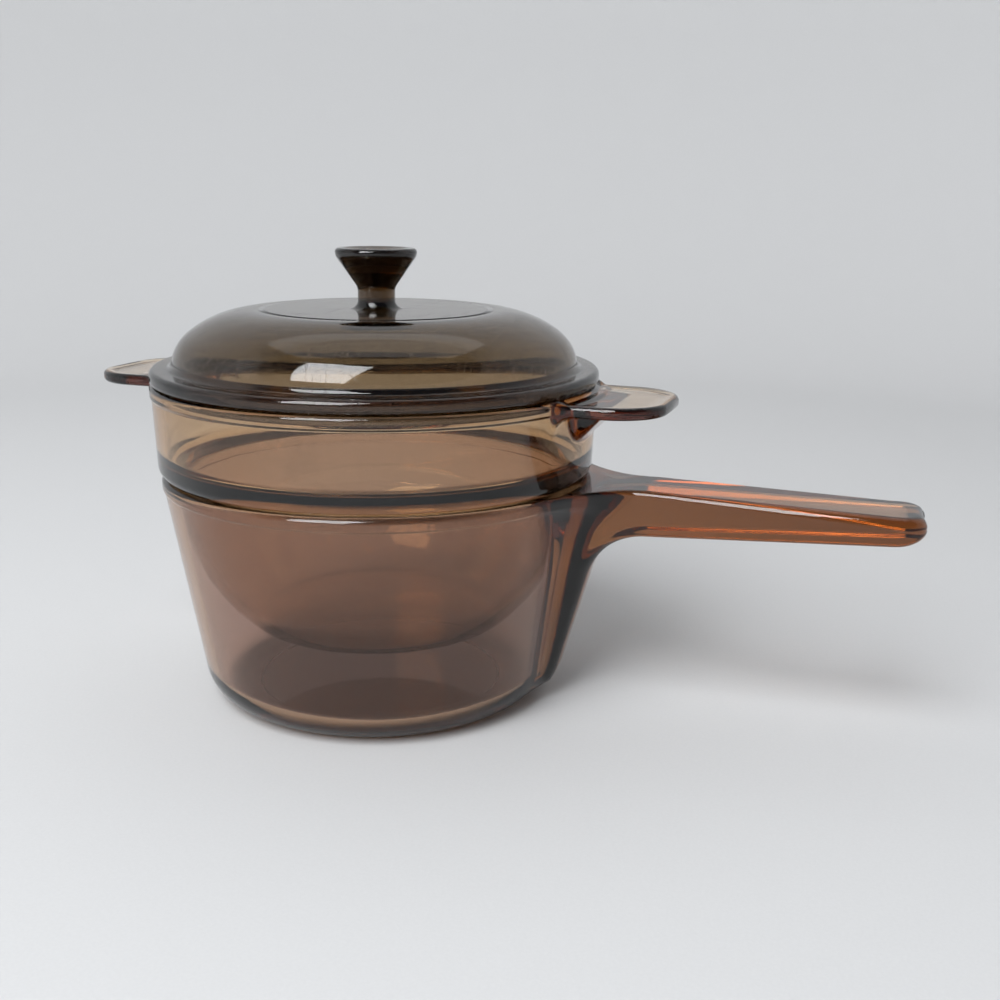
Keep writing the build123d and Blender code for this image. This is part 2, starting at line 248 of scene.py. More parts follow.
def sectionLoop(station, limb, topSteps, lipSteps, sideSteps):  # points dealt as the hole's are
    x, half, top, under, edge = station
    edge = min(edge, (top - under) * 0.45, half * 0.5)  # roundings stay inside a thin section
    underEdge = min(limb["underEdge"], top - under - edge - 0.05)
    quarter = math.pi / 2
    arc = [(half - edge + edge * math.sin(a), top - edge + edge * math.cos(a))
           for a in np.linspace(0, quarter, lipSteps + 1)]
    tuckSteps = limb["tuckSteps"]
    flatSteps = sideSteps - limb["arcSteps"] - tuckSteps
    fall = under + underEdge - top + edge
    flat = [(half, top - edge + fall * k / flatSteps) for k in range(1, flatSteps + 1)]
    low = [(half - underEdge + underEdge * math.cos(a), under + underEdge - underEdge * math.sin(a))
           for a in np.linspace(0, quarter, limb["arcSteps"] + 1)[1:]]
    tuck = min(limb["tuck"], (half - underEdge) * 0.6)
    tucked = [(half - underEdge - tuck * k / tuckSteps, under) for k in range(1, tuckSteps + 1)]
    side = arc + flat + low + tucked  # walked down the far side, where y is above zero
    upper = [(side[0][0] * (2 * k / topSteps - 1), side[0][1]) for k in range(topSteps)]
    lower = [(side[-1][0] * (1 - 2 * k / topSteps), side[-1][1]) for k in range(topSteps)]
    back = [(-y, z) for y, z in side[::-1]]
    return np.array([(x, y, z) for y, z in upper + side[:-1] + lower + back[:-1]])


# opens the turned grid and runs rings out along a limb
def growLimb(body, limb, shape, turn, rows, middleColumn):
    rotate = np.array(Matrix.Rotation(math.radians(-turn), 3, "Z"))
    grid = body["grid"] @ rotate.T
    low, high = rows
    first, last = middleColumn - limb["halfColumns"], middleColumn + limb["halfColumns"]
    loop = [(c, high) for c in range(first, last)] + [(last, r) for r in range(high, low, -1)]
    loop += [(c, low) for c in range(last, first, -1)] + [(first, r) for r in range(low, high)]
    hole = np.array([grid[spot] for spot in loop])
    inside = np.array([
        grid[c + (c == first) - (c == last), r + (r == low) - (r == high)] for c, r in loop
    ])
    heading = inside - hole
    heading /= np.linalg.norm(heading, axis=1)[:, None]
    topSteps, lipSteps = last - first, limb["lipSteps"]
    sideSteps = high - low - lipSteps
    sections = [sectionLoop(station, limb, topSteps, lipSteps, sideSteps) for station in limb["stations"]]
    gap = np.linalg.norm(sections[0] - hole, axis=1)[:, None]
    outwards = np.array((1.0, 0, 0))
    rings = []
    for share in np.linspace(0, 1, limb["rings"] + 1)[:-1]:
        t = share ** limb["gather"]
        rings.append(
            (2 * t**3 - 3 * t**2 + 1) * hole + (t**3 - 2 * t**2 + t) * heading * gap * limb["startPull"]
            + (3 * t**2 - 2 * t**3) * sections[0] + (t**3 - t**2) * outwards * gap * limb["endPull"]
        )
    free = len(rings)
    rings = np.array(rings + sections)
    around = np.linalg.norm(np.roll(rings, -1, axis=1) - rings, axis=2)
    blend = smoothStep(0, 1, np.linspace(0, 1, free + 1))[:, None]
    around[: free + 1] = around[0] * (1 - blend) + around[free] * blend  # wanted spacing round each ring
    around = np.maximum(around, fitting["leastSpacing"])
    along = np.linalg.norm(rings[1:] - rings[:-1], axis=2)
    rings[1:] = settle(shape, rings.reshape(-1, 3), fitting["settles"]).reshape(rings.shape)[1:]
    near = slice(1, free + 1)
    for _ in range(limb["passes"]):  # evens the spacing while the points stay on the surface
        middle = rings[near]
        before, after = np.roll(rings, 1, axis=1)[near], np.roll(rings, -1, axis=1)[near]
        spaceBefore, spaceAfter = np.roll(around, 1, axis=1)[near][:, :, None], around[near][:, :, None]
        roundWish = before + (after - before) * spaceBefore / (spaceBefore + spaceAfter)
        stepIn, stepOut = along[:free][:, :, None], along[1 : free + 1][:, :, None]
        lineWish = rings[:free] + (rings[2 : free + 2] - rings[:free]) * stepIn / (stepIn + stepOut)
        wish = fitting["roundShare"] * roundWish + (1 - fitting["roundShare"]) * lineWish
        moved = middle + fitting["stride"] * (wish - middle)
        rings[near] = settle(shape, moved.reshape(-1, 3), 1).reshape(middle.shape)
    rings[1:] = settle(shape, rings[1:].reshape(-1, 3), fitting["settles"]).reshape(rings[1:].shape)
    body["limbs"].append({"loop": loop, "rings": rings[1:] @ rotate, "cut": (first, last, low, high)})


def joinedMesh(name, body):  # the turned mesh with its holes, joined to the limbs
    mesh = body["mesh"]
    spots = np.empty(len(mesh.vertices) * 3)
    mesh.vertices.foreach_get("co", spots)
    spots = list(map(tuple, (spots / mm).reshape(-1, 3)))
    columnOf = np.array([value.value for value in mesh.attributes["column"].data])
    rowOf = np.array([value.value for value in mesh.attributes["row"].data])
    place = {spot: i for i, spot in enumerate(zip(columnOf, rowOf))}
    faces = []
    for polygon in mesh.polygons:
        corners = list(polygon.vertices)
        columns, rows = columnOf[corners], rowOf[corners]
        cut = any(
            first <= columns.min() and columns.max() <= last and low <= rows.min() and rows.max() <= high
            for first, last, low, high in (limb["cut"] for limb in body["limbs"])
        )
        if not cut:
            faces.append(corners)
    for limb in body["limbs"]:
        before = [place[spot] for spot in limb["loop"]]
        for ring in limb["rings"]:
            now = list(range(len(spots), len(spots) + len(ring)))
            spots += map(tuple, ring)
            faces += zip(before, before[1:] + before[:1], now[1:] + now[:1], now)
            before = now
        faces.append(tuple(before))
    used = sorted({corner for face in faces for corner in face})
    renumber = {old: new for new, old in enumerate(used)}
    joined = bpy.data.meshes.new(name)
    vertices = [tuple(c * mm for c in spots[v]) for v in used]
    joined.from_pydata(vertices, [], [[renumber[v] for v in face] for face in faces])
    return joined


def standFor(node, mesh, glass):  # finishes a mesh and puts it in the place of a CAD node
    mesh.name = node + "Glass"
    work = bmesh.new()
    work.from_mesh(mesh)
    bmesh.ops.recalc_face_normals(work, faces=work.faces)
    for face in work.faces:
        face.smooth = True
    openEdges = sum(1 for edge in work.edges if len(edge.link_faces) != 2)
    print(mesh.name, len(work.faces), "faces,", openEdges, "open edges")
    work.to_mesh(mesh)
    work.free()
    mesh.materials.clear()
    mesh.materials.append(glass)
    piece = bpy.data.objects.new(node + "Glass", mesh)
    scene.collection.objects.link(piece)
    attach(piece, node)
    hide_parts(node)


wear = {  # patterns on the glass, in repeats per metre
    "smearScale": 34.0,
    "smearDetail": 5.0,
    "smearRange": (0.45, 0.72),  # noise below the first is clean, above the second fully smeared
    "scratchScale": 32.0,
    "scratchDetail": 4.0,
    "scratchRange": (0.60, 0.66),
    "scratchRuns": (  # turn and stretch of each set
        ((0.3, 0.2, 0.5), (1, 22, 1)),
        ((0.9, 1.1, -0.4), (18, 1, 1)),
    ),
    "waveScale": 55.0,
    "waveDetail": 1.0,
}


def wearGroup():  # smears, fine scratches and the gentle waviness of pressed glass
    group = bpy.data.node_groups.new("glassWear", "ShaderNodeTree")
    for name in ("Clean Roughness", "Smear Roughness", "Scratch Roughness", "Wave Height"):
        group.interface.new_socket(name, in_out="INPUT", socket_type="NodeSocketFloat")
    for name in ("Roughness", "Height"):
        group.interface.new_socket(name, in_out="OUTPUT", socket_type="NodeSocketFloat")
    put = group.nodes.new("NodeGroupInput")
    out = group.nodes.new("NodeGroupOutput")
    coord = group.nodes.new("ShaderNodeTexCoord").outputs["Object"]

    def noiseOn(vector, kind):
        noise = group.nodes.new("ShaderNodeTexNoise")
        noise.inputs["Scale"].default_value = wear[kind + "Scale"]
        noise.inputs["Detail"].default_value = wear[kind + "Detail"]
        link(group, vector, noise.inputs["Vector"])
        return noise.outputs["Fac"]

    def maskOn(vector, kind):
        mask = group.nodes.new("ShaderNodeMapRange")
        mask.interpolation_type = "SMOOTHSTEP"
        for end, value in zip(("From Min", "From Max"), wear[kind + "Range"]):
            mask.inputs[end].default_value = value
        link(group, noiseOn(vector, kind), mask.inputs["Value"])
        return mask.outputs[0]

    smears = maskOn(coord, "smear")
    scratches = []
    for turn, stretch in wear["scratchRuns"]:
        mapping = group.nodes.new("ShaderNodeMapping")
        mapping.inputs["Rotation"].default_value = turn
        mapping.inputs["Scale"].default_value = stretch
        link(group, coord, mapping.inputs["Vector"])
        scratches.append(maskOn(mapping.outputs[0], "scratch"))
    scratches = mathNode(group, "MAXIMUM", *scratches)
    rough = put.outputs["Clean Roughness"]
    rough = mathNode(group, "MULTIPLY_ADD", put.outputs["Smear Roughness"], smears, rough)
    rough = mathNode(group, "MULTIPLY_ADD", put.outputs["Scratch Roughness"], scratches, rough)
    link(group, rough, out.inputs["Roughness"])
    height = mathNode(group, "MULTIPLY", put.outputs["Wave Height"], noiseOn(coord, "wave"))
    link(group, height, out.inputs["Height"])
    return group


def glassMaterial(name, look):
    material = bpy.data.materials.new(name)
    material.use_nodes = True
    tree = material.node_tree
    tree.nodes.clear()
    out = tree.nodes.new("ShaderNodeOutputMaterial")
    shader = tree.nodes.new("ShaderNodeBsdfPrincipled")
    shader.inputs["Base Color"].default_value = (*look["skin"], 1)
    shader.inputs["Metallic"].default_value = 0.0
    shader.inputs["Transmission Weight"].default_value = 1.0
    shader.inputs["IOR"].default_value = look["ior"]
    marks = tree.nodes.new("ShaderNodeGroup")
    marks.node_tree = wearNodes
    for key, value in look["marks"].items():
        marks.inputs[key].default_value = value
    link(tree, marks.outputs["Roughness"], shader.inputs["Roughness"])
    bump = tree.nodes.new("ShaderNodeBump")
    bump.inputs["Strength"].default_value = 1.0
    bump.inputs["Distance"].default_value = 1.0
    link(tree, marks.outputs["Height"], bump.inputs["Height"])
    link(tree, bump.outputs["Normal"], shader.inputs["Normal"])
    depth = tree.nodes.new("ShaderNodeVolumeAbsorption")  # the brown lies in the glass itself
    depth.inputs["Color"].default_value = (*look["depthColour"], 1)
    depth.inputs["Density"].default_value = look["depthDensity"]
    link(tree, shader.outputs[0], out.inputs["Surface"])
    link(tree, depth.outputs[0], out.inputs["Volume"])
    return material


wearNodes = wearGroup()
lathe = turningTree()
print("tools ready")

pressedMarks = {  # wear of the two pans
    "Clean Roughness": 0.006,
    "Smear Roughness": 0.02,
    "Scratch Roughness": 0.012,
    "Wave Height": 0.00006,
}

saucepan = {
    "height": 94.0,
    "rimRadius": 87.0,
    "mouthRadius": 81.6,
    "lipRound": 2.3,
    "beadHeight": 5.4,
    "beadProud": 0.7,
    "beadRound": 1.0,
    "wall": 4.0,
    "lean": 9.9,
    "cornerRadius": 15.5,
    "innerCornerRadius": 12.0,
    "floor": 5.5,
    "footRingWidth": 6.8,
    "footRecess": 0.8,
    "footRecessRound": 1.2,
    "footSideFrom": 54.0,  # the outside is followed from here on the foot, and up past the rim by wallRise
    "wallRise": 60.0,
    "ribHoleFrom": (60.0, 2.2),  # radius and height past which the rib's hole starts
    "look": {
        "skin": (0.76, 0.69, 0.78),
        "ior": 1.52,
        "depthColour": (0.763, 0.552, 0.234),
        "depthDensity": 154.0,
        "marks": pressedMarks,
    },
}

handle = {  # grows out of the rim along +X, with a rib down the wall
    "reach": 216.5,
    "barStart": 115.0,
    "nose": 13.0,
    "noseRise": 3.6,
    "noseRound": 8.6,
    "topRise": 0.5,
    "topDrop": 2.8,
    "underRoot": 76.2,
    "underEnd": 80.8,
    "halfRoot": 14.5,
    "halfEnd": 16.8,
    "rootEdge": 2.4,
    "endEdge": 4.4,
    "underEdge": 1.8,
    "edgeBlend": (88.0, 112.0),  # radii between which the rim's rounding becomes the handle's
    "rootRound": 20.0,
    "ribLevels": [-20, 3, 8.8, 15.7, 29, 44.5, 60.7, 100],  # heights, and how far the rib stands out there
    "ribProud": [-2, -1.5, 3.7, 5.3, 6.7, 8.4, 10.2, 10.6],
    "halfLevels": [3, 60.7, 70, 76.2, 94.5],  # heights, and half the rib's width there
    "halfWidths": [7.0, 11.5, 12.6, 13.5, 14.5],
    "roundLevels": [3, 55, 70, 76.2],  # heights, and the rounding of the rib's front edges there
    "underRounds": [4.0, 6.5, 4.5, 1.8],
    "webLevels": [3, 10, 30, 60, 76, 84, 94],  # heights, and the hollow between rib and wall there
    "webOut": [1.0, 2.8, 5.0, 7.5, 11.0, 17.0, 26.0],
    "webAcross": [9.0, 11.0, 12.5, 13.5, 16.0, 22.0, 35.0],
    "barSections": 60,
    "sectionHeight": 90.0,  # where the sections read their half width
    "noseSwings": [8, 16, 24, 32, 40, 48, 56, 63, 70, 76, 82, 87],  # degrees
    "halfColumns": 30,
    "rings": 50,
    "gather": 1.0,
    "startPull": 0.2,
    "endPull": 0.9,
    "passes": 70,
    "arcSteps": 10,
    "tuckSteps": 4,
    "tuck": 2.0,
}
handle["barEnd"] = handle["reach"] - handle["nose"]


def saucepanOutline():
    s = saucepan
    tangent = math.tan(math.radians(s["lean"]))
    wallTop = s["rimRadius"] - s["beadProud"]
    beadBase = s["height"] - s["beadHeight"]
    innerTop = wallTop - s["wall"] / math.cos(math.radians(s["lean"]))
    foot = wallTop - beadBase * tangent
    footFlat = foot - s["cornerRadius"] * math.tan(math.radians(45 - s["lean"] / 2)) - s["footRingWidth"]
    return roundedPath([
        (0, s["footRecess"], 0),
        (footFlat - s["footRecess"], s["footRecess"], s["footRecessRound"]),
        (footFlat, 0, s["footRecessRound"]),
        (foot, 0, s["cornerRadius"]),
        (wallTop, beadBase, s["beadRound"]),
        (s["rimRadius"], beadBase + s["beadProud"], s["beadRound"]),
        (s["rimRadius"], s["height"], s["lipRound"]),
        (s["mouthRadius"], s["height"], s["lipRound"]),
        (s["mouthRadius"], beadBase, s["beadRound"]),
        (innerTop - (beadBase - s["floor"]) * tangent, s["floor"], s["innerCornerRadius"]),
        (0, s["floor"], 0),
    ])


def alongBar(x):  # share of the way along the straight part of the handle
    return np.clip((x - handle["barStart"]) / (handle["barEnd"] - handle["barStart"]), 0, 1)


def handleTop(x, radius):
    rise = smoothStep(saucepan["rimRadius"], handle["barStart"], radius)
    return saucepan["height"] + handle["topRise"] * rise - handle["topDrop"] * alongBar(x)


def handleUnder(x):
    nose = np.clip((x - handle["barEnd"]) / handle["nose"], 0, 1)
    bar = handle["underRoot"] + (handle["underEnd"] - handle["underRoot"]) * alongBar(x)
    return bar + handle["noseRise"] * nose**2


def handleHalf(x, z):
    widening = (handle["halfEnd"] - handle["halfRoot"]) * alongBar(x)
    return np.interp(z, handle["halfLevels"], handle["halfWidths"]) + widening


def handleEdge(x):
    return handle["rootEdge"] + (handle["endEdge"] - handle["rootEdge"]) * alongBar(x)


def handleStations():  # x, half width, top, under and edge rounding, from the flare's end to the tip
    level = handle["sectionHeight"]
    spots = np.linspace(handle["barStart"], handle["barEnd"], handle["barSections"])
    stations = [[x, handleHalf(x, level), handleTop(x, x), handleUnder(x), handleEdge(x)] for x in spots]
    for swing in np.radians(handle["noseSwings"]):
        x = handle["barEnd"] + handle["nose"] * math.sin(swing)
        past = max(0, 1 - (handle["reach"] - x) / handle["noseRound"])
        half = handle["halfEnd"] - handle["noseRound"] * (1 - math.sqrt(1 - past**2))
        stations.append([x, half, handleTop(x, x), handleUnder(x), handleEdge(x)])
    return stations


def saucepanShape(spots):  # the saucepan's outside with its handle and rib, as a distance
    x, y, z = spots.T
    radius = np.hypot(x, y)
    wall = sideDistance(saucepanSide, radius, z)
    front = wall - np.interp(z, handle["ribLevels"], handle["ribProud"])
    web = roundUnion(front, handleUnder(x) - z, handle["rootRound"], handle["rootRound"])
    side = roundCut(np.abs(y) - handleHalf(x, z), x - handle["reach"], handle["noseRound"])
    limb = roundCut(web, side, np.interp(z, handle["roundLevels"], handle["underRounds"]))
    webOut = np.interp(z, handle["webLevels"], handle["webOut"])
    webAcross = np.interp(z, handle["webLevels"], handle["webAcross"])
    lip = saucepan["lipRound"]
    edge = lip + (handleEdge(x) - lip) * smoothStep(*handle["edgeBlend"], radius)
    return roundCut(roundUnion(wall, limb, webOut, webAcross), z - handleTop(x, radius), edge)


outline = saucepanOutline()
lipRow = rowAt(outline, saucepan["rimRadius"] - saucepan["lipRound"], saucepan["height"])
sideTop = rowAt(outline, saucepan["rimRadius"], saucepan["height"] - saucepan["lipRound"])
holeRow = rowPast(outline, lipRow, *saucepan["ribHoleFrom"])
onFoot = (outline[:, 1] < 0.001) & (outline[:, 0] > saucepan["footSideFrom"])
footRow = int(np.argmax(onFoot))
wallEnd = (saucepan["rimRadius"], saucepan["height"] + saucepan["wallRise"])
saucepanSide = np.vstack([outline[footRow : sideTop + 1], wallEnd])
handle["stations"] = handleStations()
handle["lipSteps"] = lipRow - sideTop
saucepanGlass = glassMaterial("saucepanGlass", saucepan["look"])
body = turnedBody("saucepan", outline, 180, saucepanGlass)
growLimb(body, handle, saucepanShape, 0, (holeRow, lipRow), mould["columns"] // 2)
standFor("saucepan", joinedMesh("saucepan", body), saucepanGlass)
print("saucepan ready")

insert = {
    "seat": 94.3,
    "top": 130.3,
    "base": 30.3,
    "rimRadius": 90.0,
    "rimWidth": 5.2,
    "beadHeight": 5.0,
    "beadProud": 0.7,
    "beadRound": 1.0,
    "lipRound": 1.6,
    "wall": 3.8,
    "shoulderRadius": 88.0,
    "shoulderRound": 4.5,
    "seatRound": 0.8,
    "ledgeSlope": 4.0,
    "ledgeRound": 6.0,
    "neckRadius": 80.3,
    "neckDrop": 4.0,
    "sideRadius": 75.0,
    "cornerRadius": 12.0,
    "turn": -4.0,
    "tabHoleFrom": (80.0, 103.0),  # radius and height past which the tabs' holes start
    "look": {
        "skin": (0.97, 0.96, 0.95),
        "ior": 1.52,
        "depthColour": (0.765, 0.525, 0.19),
        "depthDensity": 162.0,
        "marks": pressedMarks,
    },
}
insert["wallTop"] = insert["rimRadius"] - insert["beadProud"]

tab = {  # a flat plate on a corbel, one at each side of the insert
    "reach": 122.2,
    "half": 28.3,
    "top": 129.3,
    "thickness": 4.6,
    "bow": 1.4,
    "corner": 19.0,
    "cornerSwings": [0, 7, 14, 21, 28, 35, 42, 49, 56, 62, 68, 74, 80, 85],  # degrees
    "rootRun": 1.5,
    "edge": 1.8,
    "underEdge": 1.8,
    "sideWeb": 6.0,
    "topWeb": 0.9,
    "underWeb": 2.0,
    "webBelow": 1.5,  # under the plate's top, where the upper hollow starts to give way to the lower
    "webAbove": 1.0,  # over its underside, where the lower hollow is full
    "webBeside": (4.0, 1.0),  # inside and outside of the plate's half width, where the side hollow sets in
    "corbelReach": 100.0,
    "corbelDrop": 13.5,
    "corbelHalf": 18.0,
    "corbelEdge": 2.5,
    "corbelWeb": 1.2,
    "corbelTop": 2.5,  # under the plate's top
    "dishDepth": 0.7,
    "dishBorder": [2.9, 5.5],
    "halfColumns": 22,
    "rings": 26,
    "gather": 1.2,
    "startPull": 0.6,
    "endPull": 0.8,
    "passes": 50,
    "arcSteps": 8,
    "tuckSteps": 10,
    "tuck": 8.0,
}


# two corners whose roundings are the bowl's two arcs
def bowlCorners(radius, top, base, sideRadius, cornerRadius):
    turn = math.asin((top - base - cornerRadius) / (sideRadius - cornerRadius))
    run = sideRadius * math.tan(turn / 2)
    joint = radius - sideRadius * (1 - math.cos(turn))
    reach = cornerRadius * math.tan((math.pi / 2 - turn) / 2)
    return (joint - reach * math.sin(turn), base, cornerRadius), (radius, top - run, sideRadius)


def insertOutline():
    s = insert
    beadBase = s["top"] - s["beadHeight"]
    mouth = s["rimRadius"] - s["rimWidth"]
    ledge = s["seat"] + s["wall"]
    neckBase = s["seat"] - s["neckDrop"]
    innerNeck = s["neckRadius"] - s["wall"]
    lower, side = bowlCorners(s["neckRadius"], neckBase, s["base"], s["sideRadius"], s["cornerRadius"])
    innerLower, innerSide = bowlCorners(
        innerNeck, neckBase, s["base"] + s["wall"], s["sideRadius"] - s["wall"], s["cornerRadius"] - s["wall"]
    )
    return roundedPath([
        (0, s["base"], 0),
        lower,
        side,
        (s["neckRadius"], s["seat"], s["seatRound"]),
        (s["shoulderRadius"], s["seat"], s["shoulderRound"]),
        (s["wallTop"], beadBase, s["beadRound"]),
        (s["rimRadius"], beadBase + s["beadProud"], s["beadRound"]),
        (s["rimRadius"], s["top"], s["lipRound"]),
        (mouth, s["top"], s["lipRound"]),
        (mouth, beadBase, s["beadRound"]),
        (s["shoulderRadius"] - s["wall"], ledge + s["ledgeSlope"], s["ledgeRound"]),
        (innerNeck, ledge, s["ledgeRound"]),
        innerSide,
        innerLower,
        (0, s["base"] + s["wall"], 0),
    ])


def tabStations():
    under = tab["top"] - tab["thickness"]
    start = tab["reach"] - tab["corner"]
    stations = [[start - tab["rootRun"], tab["half"], tab["top"], under, tab["edge"]]]
    for swing in np.radians(tab["cornerSwings"]):
        half = tab["half"] - tab["corner"] * (1 - math.cos(swing))
        stations.append([start + tab["corner"] * math.sin(swing), half, tab["top"], under, tab["edge"]])
    return stations


def insertShape(spots):  # the insert's outside with one tab along +X, as a distance
    x, y, z = spots.T
    radius = np.hypot(x, y)
    across = np.abs(y)
    wall = sideDistance(insertSide, radius, z)
    end = x - tab["reach"] + tab["bow"] * (across / tab["half"]) ** 2
    plan = roundCut(across - tab["half"], end, tab["corner"])
    inward = np.minimum(-plan, radius - insert["rimRadius"])
    dish = tab["dishDepth"] * smoothStep(*tab["dishBorder"], inward)
    under = tab["top"] - tab["thickness"]
    plate = roundCut(plan, np.maximum(z - tab["top"] + dish, under - z), tab["edge"])
    below = smoothStep(tab["top"] - tab["webBelow"], under + tab["webAbove"], z)
    beside = smoothStep(tab["half"] - tab["webBeside"][0], tab["half"] + tab["webBeside"][1], across)
    web = tab["topWeb"] + (tab["underWeb"] - tab["topWeb"]) * below
    web = web + (tab["sideWeb"] - web) * beside
    base = insert["wallTop"] - insert["wall"] / 2
    slope = math.atan2(tab["corbelReach"] - base, tab["corbelDrop"])
    front = (x - tab["corbelReach"]) * math.cos(slope) - (z - under) * math.sin(slope)
    drop = np.maximum(under - z, 0) / tab["corbelDrop"]
    flank = (np.hypot(across / tab["corbelHalf"], drop) - 1) * tab["corbelDrop"]
    corbel = np.maximum(roundCut(front, flank, tab["corbelEdge"]), z - tab["top"] + tab["corbelTop"])
    return roundUnion(roundUnion(wall, plate, web, web), corbel, tab["corbelWeb"], tab["corbelWeb"])


outline = insertOutline()
lipRow = rowAt(outline, insert["rimRadius"] - insert["lipRound"], insert["top"])
sideTop = rowAt(outline, insert["rimRadius"], insert["top"] - insert["lipRound"])
holeRow = rowPast(outline, lipRow, *insert["tabHoleFrom"])
seatRow = rowAt(outline, insert["shoulderRadius"] - insert["shoulderRound"], insert["seat"])
mouthRow = rowAt(outline, insert["rimRadius"] - insert["rimWidth"] + insert["lipRound"], insert["top"])
insertSide = outline[seatRow : mouthRow + 1]
tab["stations"] = tabStations()
tab["lipSteps"] = lipRow - sideTop
insertGlass = glassMaterial("insertGlass", insert["look"])
body = turnedBody("insert", outline, insert["turn"] + 90, insertGlass)
quarterColumns = mould["columns"] // 4
for turn, middle in ((insert["turn"], quarterColumns * 3), (insert["turn"] + 180, quarterColumns)):
    growLimb(body, tab, insertShape, turn, (holeRow, lipRow), middle)
standFor("insert", joinedMesh("insert", body), insertGlass)
print("insert ready")

lid = {
    "seat": 130.6,
    "flangeRadius": 90.0,
    "flangeWidth": 8.9,
    "flangeThickness": 5.6,
    "flangeRound": 2.2,
    "wall": 4.2,
    "domeFootRound": 2.5,
    "shoulderRadius": 16.5,
    "shoulderAngle": 51.0,
    "domeRise": 21.9,
    "slopeWidth": 36.5,
    "discStep": 0.3,
    "discEdge": 0.25,
    "skirtRadius": 83.8,
    "skirtDepth": 4.5,
    "skirtTaper": 2.6,
    "skirtRound": 1.2,
    "skirtRootRound": 2.0,
    "seatRound": 0.5,
    "discUnderRound": 6.0,
    "knobRadius": 16.7,
    "knobHeight": 24.2,
    "knobBand": 3.4,
    "knobTaper": 0.7,
    "knobEdge": 1.6,
    "knobDish": 1.3,
    "knobDishShare": 0.55,  # of the knob's radius, where the dish starts to rise
    "knobDishRound": 14.0,
    "knobCrestRound": 1.2,
    "knobNeckRadius": 7.5,
    "knobNeckHeight": 8.7,
    "knobBaseRound": 3.6,
    "knobWaistRound": 4.0,
    "look": {
        "skin": (0.88, 0.88, 0.87),
        "ior": 1.52,
        "depthColour": (0.534, 0.408, 0.19),
        "depthDensity": 385.0,
        "marks": {
            "Clean Roughness": 0.03,
            "Smear Roughness": 0.06,
            "Scratch Roughness": 0.12,
            "Wave Height": 0.00008,
        },
    },
}


# two arcs from the flange to the disc
def domeCorners(footRadius, footHeight, shoulderRadius, discRadius, discHeight):
    angle = math.radians(lid["shoulderAngle"])
    run = shoulderRadius * math.tan(angle / 2)
    start = np.array((
        footRadius - shoulderRadius * (1 - math.cos(angle)),
        footHeight + shoulderRadius * math.sin(angle),
    ))
    heading = np.array((-math.sin(angle), math.cos(angle)))
    chord = np.array((discRadius, discHeight)) - start
    bend = angle - math.atan2(-chord[0], chord[1])
    radius = np.linalg.norm(chord) / 2 / abs(math.sin(bend))
    upper = start + heading * radius * math.tan(abs(bend))
    return (footRadius, footHeight + run, shoulderRadius), (upper[0], upper[1], radius)


def lidOutline():
    s = lid
    top = s["seat"] + s["flangeThickness"]
    disc = top + s["domeRise"]
    knobTop = disc + s["knobHeight"]
    foot = s["flangeRadius"] - s["flangeWidth"]
    inner = foot - s["wall"]
    discRadius = foot - s["slopeWidth"]
    ceiling = disc - s["wall"]
    lower, upper = domeCorners(foot, top, s["shoulderRadius"], discRadius + s["discEdge"], disc)
    innerLower, innerUpper = domeCorners(inner, top, s["shoulderRadius"] - s["wall"], discRadius, ceiling)
    return roundedPath([
        (0, knobTop - s["knobDish"], 0),
        (s["knobRadius"] * s["knobDishShare"], knobTop - s["knobDish"], s["knobDishRound"]),
        (s["knobRadius"] - 2 * s["knobEdge"], knobTop, s["knobCrestRound"]),
        (s["knobRadius"], knobTop, s["knobEdge"]),
        (s["knobRadius"] - s["knobTaper"], knobTop - s["knobBand"], s["knobWaistRound"]),
        (s["knobNeckRadius"], disc + s["knobNeckHeight"], s["knobWaistRound"]),
        (s["knobNeckRadius"], disc + s["discStep"], s["knobBaseRound"]),
        (discRadius, disc + s["discStep"], s["discEdge"]),
        (discRadius + s["discEdge"], disc, s["discEdge"]),
        upper,
        lower,
        (foot, top, s["domeFootRound"]),
        (s["flangeRadius"], top, s["flangeRound"]),
        (s["flangeRadius"], s["seat"], s["flangeRound"]),
        (s["skirtRadius"], s["seat"], s["seatRound"]),
        (s["skirtRadius"], s["seat"] - s["skirtDepth"], s["skirtRound"]),
        (inner + s["skirtTaper"], s["seat"] - s["skirtDepth"], s["skirtRound"]),
        (inner, s["seat"], s["skirtRootRound"]),
        innerLower,
        innerUpper,
        (discRadius, ceiling, s["discUnderRound"]),
        (0, ceiling, 0),
    ])


lidGlass = glassMaterial("lidGlass", lid["look"])
standFor("lid", turnedBody("lid", lidOutline(), 180, lidGlass)["mesh"], lidGlass)
print("lid ready")

stage = {  # a pale floor that curves up into a wall all round, high at the back and low behind the camera
    "turn": 21.0,
    "backRadius": 1.25,
    "frontRadius": 2.6,
    "backHeight": 2.4,
    "frontHeight": 0.95,
    "frontBlend": (-0.2, 0.9),  # how far round the back's sizes turn into the front's
    "floorRings": (0.35, 0.7),
    "floorDrop": 0.0002,
    "bend": 0.4,
    "bendStep": 7.5,  # degrees
    "segments": 96,
    "colour": 0.62,
    "grainDepth": 0.03,
    "grainScale": 900.0,
    "roughness": 0.9,
    "specular": 0.1,
}


